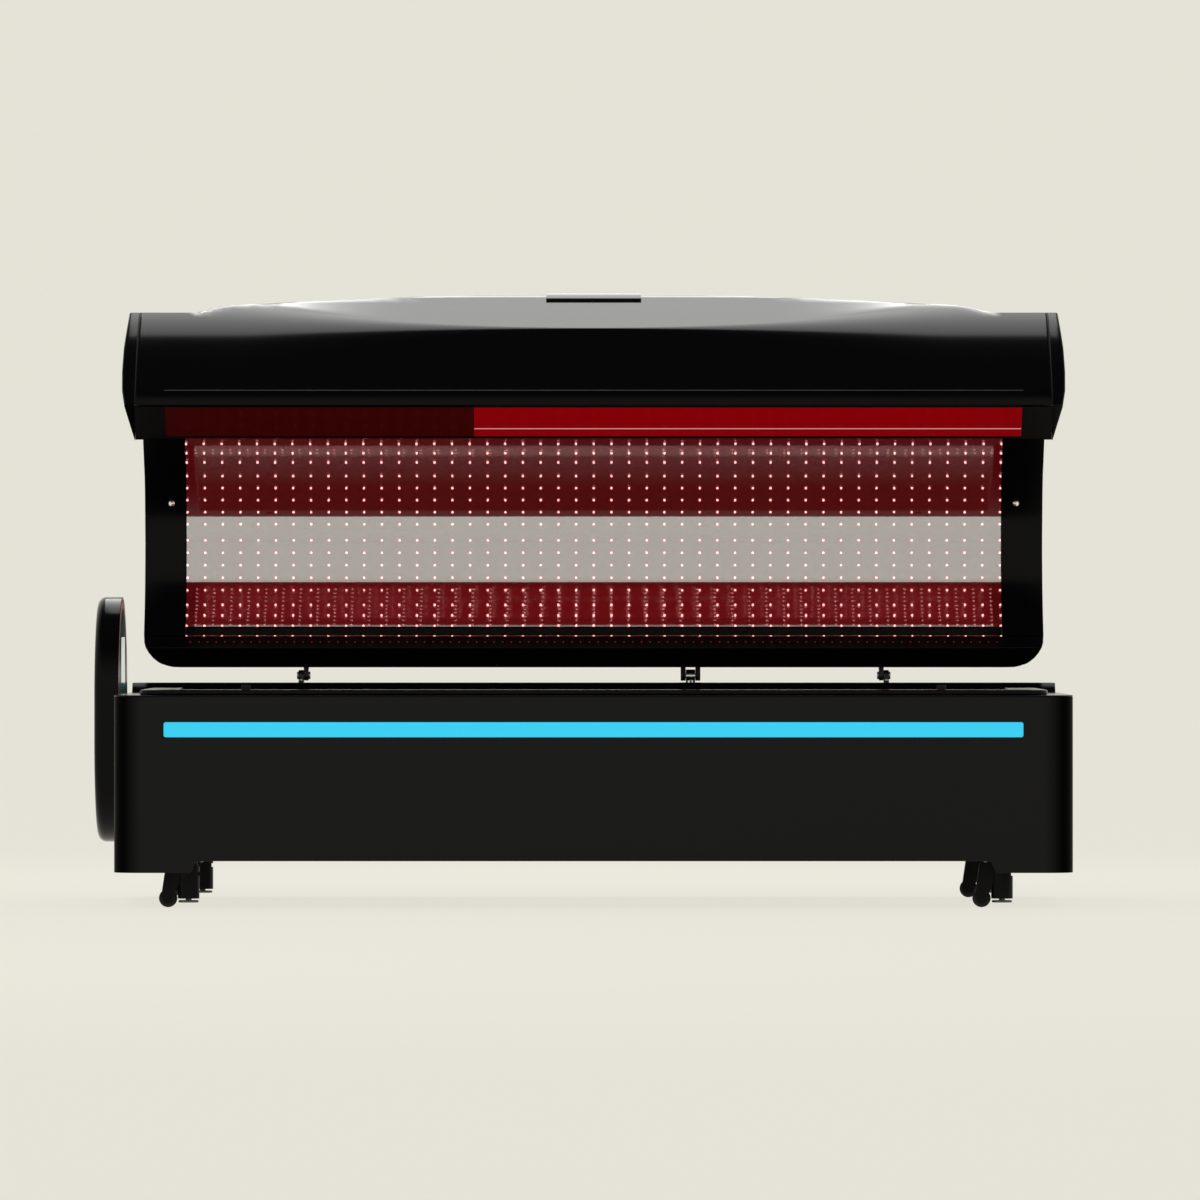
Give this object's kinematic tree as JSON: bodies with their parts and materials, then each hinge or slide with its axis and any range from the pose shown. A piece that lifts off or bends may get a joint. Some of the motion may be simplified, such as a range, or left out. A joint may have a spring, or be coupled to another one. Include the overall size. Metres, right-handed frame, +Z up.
{
  "type": "red light therapy bed",
  "caption": "Wheeled bed with a lit, sunken lying surface and a hinged, half-tunnel canopy of red lamps that an actuator lifts; an oval control console stands on one end.",
  "frame": {"origin": "on the floor under the middle of the base", "axes": "+X along the bed to the end without the console, +Y to the hinged rear side, +Z up; the user gets in from -Y"},
  "size_m": [2.2573, 1.2894, 1.4332],
  "materials": {
    "black_gloss": "glossy black",
    "canopy_black": "satin black",
    "black_satin": "satin black",
    "frame_metal": "mill finish",
    "pan_metal": "dark anodised",
    "inner_metal": "plain",
    "board": "dark red coated",
    "clear_sheet": "clear, lit red from behind",
    "bed_clear": "clear",
    "strip_lens": "lit cyan",
    "lens_red": "lit red",
    "lens_dark": "dim red",
    "rim_red": "lit red",
    "console_glass": "dark teal, glossy",
    "black_rubber": "black",
    "hinge_metal": "black paint",
    "bright_metal": "polished",
    "pin_metal": "brushed",
    "inlet_plastic": "black",
    "foot_metal": "dark"
  },
  "bodies": {
    "base": {"front_panel": "black_gloss", "rear_panel": "black_gloss", "left_end_panel": "black_gloss", "right_end_panel": "black_gloss", "base_frame": "frame_metal", "bottom_pan": "pan_metal", "deck_plate": "black_gloss", "front_rim": "black_gloss", "rear_ledge": "black_gloss", "light_strip_lens": "strip_lens", "bed_sheet": "bed_clear", "bed_lamp_boards": "board", "bed_heat_sink": "inner_metal", "rim_buffers": "black_rubber", "power_supplies": "inner_metal", "control_box": "inner_metal", "fan_housings": "black_satin", "power_inlet": "inlet_plastic", "hinge_ears": "hinge_metal", "hinge_pins": "pin_metal", "actuator_foot": "hinge_metal", "console_shell": "black_gloss", "console_rim": "rim_red", "console_glass": "console_glass", "console_screws": "pin_metal", "caster_plates": "hinge_metal"},
    "canopy": {"canopy_shell": "canopy_black", "canopy_cap_left": "canopy_black", "canopy_cap_right": "canopy_black", "canopy_ribs": "inner_metal", "canopy_lip": "black_satin", "canopy_sill": "black_satin", "lip_lens_left": "lens_dark", "lip_lens_right": "lens_red", "canopy_sheet": "clear_sheet", "canopy_end_rings": "black_satin", "canopy_lamp_boards": "board", "ring_studs": "bright_metal", "top_handle": "canopy_black", "hinge_arms": "hinge_metal", "actuator_bracket": "hinge_metal"},
    "actuator_tube": {"actuator_tube": "hinge_metal"},
    "actuator_rod": {"actuator_rod": "bright_metal"},
    "fan_left": {"fan_rotor_left": "black_satin"},
    "fan_right": {"fan_rotor_right": "black_satin"},
    "rocker": {"power_rocker": "inlet_plastic"},
    "swivel_fl": {"caster_fork_fl": "hinge_metal"},
    "wheel_fl": {"caster_wheel_fl": "black_rubber"},
    "foot_fl": {"caster_foot_fl": "foot_metal"},
    "swivel_fr": {"caster_fork_fr": "hinge_metal"},
    "wheel_fr": {"caster_wheel_fr": "black_rubber"},
    "foot_fr": {"caster_foot_fr": "foot_metal"},
    "swivel_rl": {"caster_fork_rl": "hinge_metal"},
    "wheel_rl": {"caster_wheel_rl": "black_rubber"},
    "foot_rl": {"caster_foot_rl": "foot_metal"},
    "swivel_rr": {"caster_fork_rr": "hinge_metal"},
    "wheel_rr": {"caster_wheel_rr": "black_rubber"},
    "foot_rr": {"caster_foot_rr": "foot_metal"}
  },
  "joints": [
    {"name": "lid_hinge", "type": "hinge", "parent": "base", "child": "canopy", "pos_m": [0, 0.44, 0.528], "axis": [1, 0, 0], "range_deg": [0, 46.5]},
    {"name": "actuator_tilt", "type": "hinge", "parent": "base", "child": "actuator_tube", "pos_m": [0.231, 0.508, 0.185], "axis": [1, 0, 0], "range_deg": [-0.5, 5]},
    {"name": "rod_slide", "type": "slide", "parent": "actuator_tube", "child": "actuator_rod", "axis": [0, 0.0409, 0.9992], "range_m": [-0.002, 0.064]},
    {"name": "fan_left_spin", "type": "hinge", "parent": "base", "child": "fan_left", "pos_m": [-0.48, 0.533, 0.3], "axis": [0, 1, 0], "continuous": true},
    {"name": "fan_right_spin", "type": "hinge", "parent": "base", "child": "fan_right", "pos_m": [0.48, 0.533, 0.3], "axis": [0, 1, 0], "continuous": true},
    {"name": "rocker_tip", "type": "hinge", "parent": "base", "child": "rocker", "pos_m": [-0.7, 0.548, 0.206], "axis": [1, 0, 0], "range_deg": [0, 16]},
    {"name": "swivel_fl_turn", "type": "hinge", "parent": "base", "child": "swivel_fl", "pos_m": [-0.935, -0.44, 0.095], "axis": [0, 0, 1], "continuous": true},
    {"name": "wheel_fl_spin", "type": "hinge", "parent": "swivel_fl", "child": "wheel_fl", "pos_m": [-0.978, -0.44, 0.021], "axis": [0, 1, 0], "continuous": true},
    {"name": "foot_fl_lower", "type": "slide", "parent": "swivel_fl", "child": "foot_fl", "axis": [0, 0, -1], "range_m": [0, 0.01]},
    {"name": "swivel_fr_turn", "type": "hinge", "parent": "base", "child": "swivel_fr", "pos_m": [0.935, -0.44, 0.095], "axis": [0, 0, 1], "continuous": true},
    {"name": "wheel_fr_spin", "type": "hinge", "parent": "swivel_fr", "child": "wheel_fr", "pos_m": [0.892, -0.44, 0.021], "axis": [0, 1, 0], "continuous": true},
    {"name": "foot_fr_lower", "type": "slide", "parent": "swivel_fr", "child": "foot_fr", "axis": [0, 0, -1], "range_m": [0, 0.01]},
    {"name": "swivel_rl_turn", "type": "hinge", "parent": "base", "child": "swivel_rl", "pos_m": [-0.935, 0.44, 0.095], "axis": [0, 0, 1], "continuous": true},
    {"name": "wheel_rl_spin", "type": "hinge", "parent": "swivel_rl", "child": "wheel_rl", "pos_m": [-0.978, 0.44, 0.021], "axis": [0, 1, 0], "continuous": true},
    {"name": "foot_rl_lower", "type": "slide", "parent": "swivel_rl", "child": "foot_rl", "axis": [0, 0, -1], "range_m": [0, 0.01]},
    {"name": "swivel_rr_turn", "type": "hinge", "parent": "base", "child": "swivel_rr", "pos_m": [0.935, 0.44, 0.095], "axis": [0, 0, 1], "continuous": true},
    {"name": "wheel_rr_spin", "type": "hinge", "parent": "swivel_rr", "child": "wheel_rr", "pos_m": [0.892, 0.44, 0.021], "axis": [0, 1, 0], "continuous": true},
    {"name": "foot_rr_lower", "type": "slide", "parent": "swivel_rr", "child": "foot_rr", "axis": [0, 0, -1], "range_m": [0, 0.01]}
  ],
  "couplings": [
    {"joint": "actuator_tilt", "follows": "lid_hinge", "ratio": 0.072},
    {"joint": "rod_slide", "follows": "lid_hinge", "m_per_rad": 0.075}
  ]
}
